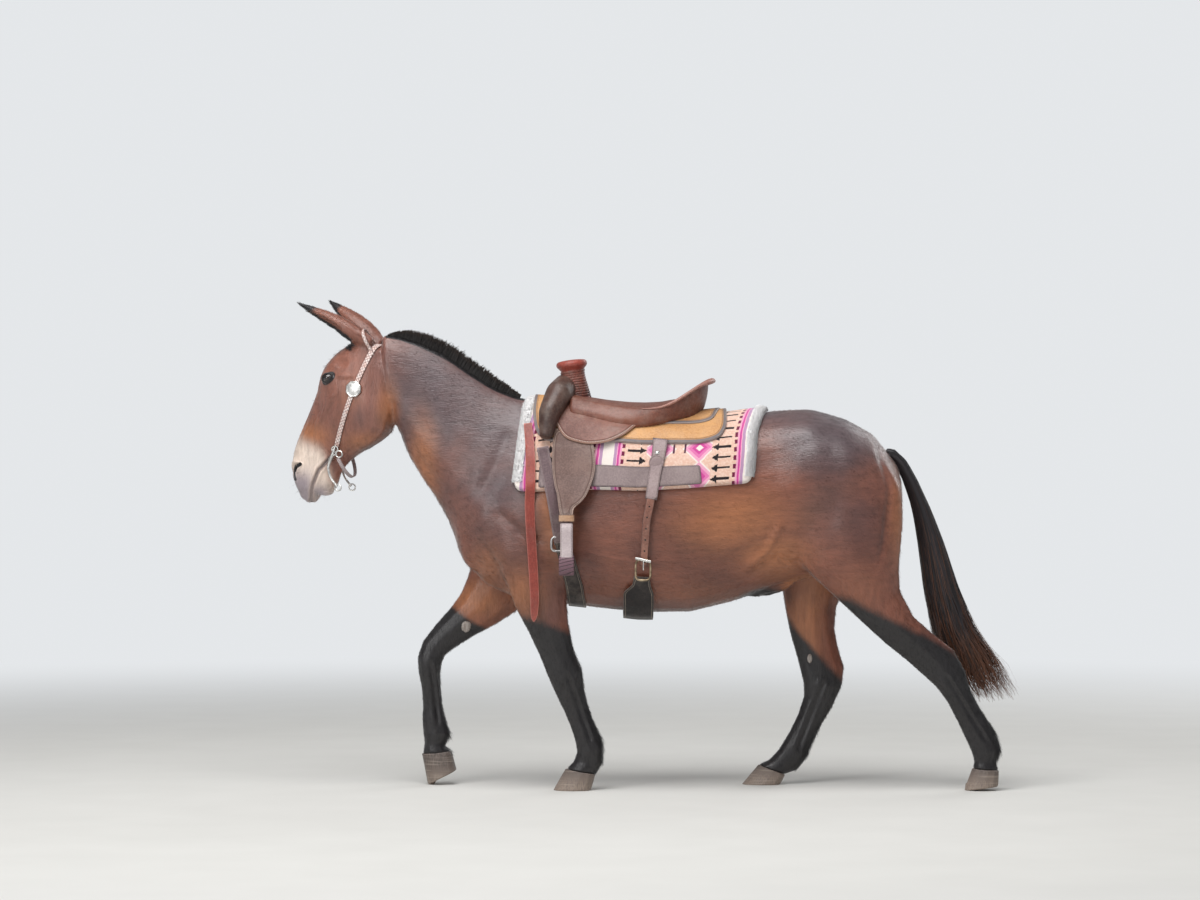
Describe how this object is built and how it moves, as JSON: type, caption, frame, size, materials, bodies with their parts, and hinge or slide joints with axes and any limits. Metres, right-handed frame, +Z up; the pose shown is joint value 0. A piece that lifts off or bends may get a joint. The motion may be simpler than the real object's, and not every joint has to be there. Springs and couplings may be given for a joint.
{
  "type": "saddled riding mule model",
  "caption": "Life-size still model of a bay saddle mule at a walk, with western saddle, pad, cinches, stirrups, one-ear headstall and curb bit, and no lead or reins.",
  "frame": {"origin": "on the floor, under the middle of the model's box", "axes": "+X towards the tail, so that the mule faces -X; +Y to the mule's right; +Z up from the floor"},
  "size_m": [2.7039, 0.78, 1.8108],
  "materials": {
    "bay_coat": "short glossy mahogany bay hair",
    "black_coat": "short black hair",
    "black_hair": "long coarse black hair",
    "hoof_horn": "dull grey-brown horn",
    "eye": "wet dark brown",
    "wool": "woven wool with a fleece edge",
    "tan_leather": "oiled tan leather with a dark border",
    "brown_leather": "worn dark brown leather",
    "russet_leather": "polished russet leather",
    "grey_leather": "dusty grey-brown leather",
    "black_leather": "stitched black leather",
    "rawhide": "laced pale rawhide",
    "silver": "engraved bright silver"
  },
  "bodies": {
    "root": {"head": "bay_coat", "neck": "bay_coat", "torso": "bay_coat", "fore_left_upper_leg": "bay_coat", "fore_left_lower_leg": "black_coat", "fore_left_hoof": "hoof_horn", "fore_right_upper_leg": "bay_coat", "fore_right_lower_leg": "black_coat", "fore_right_hoof": "hoof_horn", "hind_left_upper_leg": "bay_coat", "hind_left_lower_leg": "black_coat", "hind_left_hoof": "hoof_horn", "hind_right_upper_leg": "bay_coat", "hind_right_lower_leg": "black_coat", "hind_right_hoof": "hoof_horn", "eye_left": "eye", "eye_right": "eye", "ear_left": "bay_coat", "ear_right": "bay_coat", "mane": "black_hair", "tail": "black_hair", "saddle_pad": "wool", "saddle_skirts": "tan_leather", "saddle_fork": "brown_leather", "saddle_horn": "russet_leather", "saddle_seat": "brown_leather", "wear_leather_left": "grey_leather", "wear_leather_right": "grey_leather", "rear_jockey_left": "tan_leather", "rear_jockey_right": "tan_leather", "fender_left": "brown_leather", "fender_right": "brown_leather", "stirrup_left": "grey_leather", "stirrup_right": "grey_leather", "front_cinch": "black_leather", "flank_cinch": "black_leather", "latigo_left": "brown_leather", "latigo_right": "brown_leather", "billet_left": "grey_leather", "billet_right": "grey_leather", "billet_tip_left": "brown_leather", "billet_tip_right": "brown_leather", "flank_buckle_left": "silver", "flank_buckle_right": "silver", "hanging_latigo": "russet_leather", "headstall": "rawhide", "ear_loop": "rawhide", "cheek_disc_left": "silver", "cheek_disc_right": "silver", "bit": "silver"}
  },
  "joints": []
}
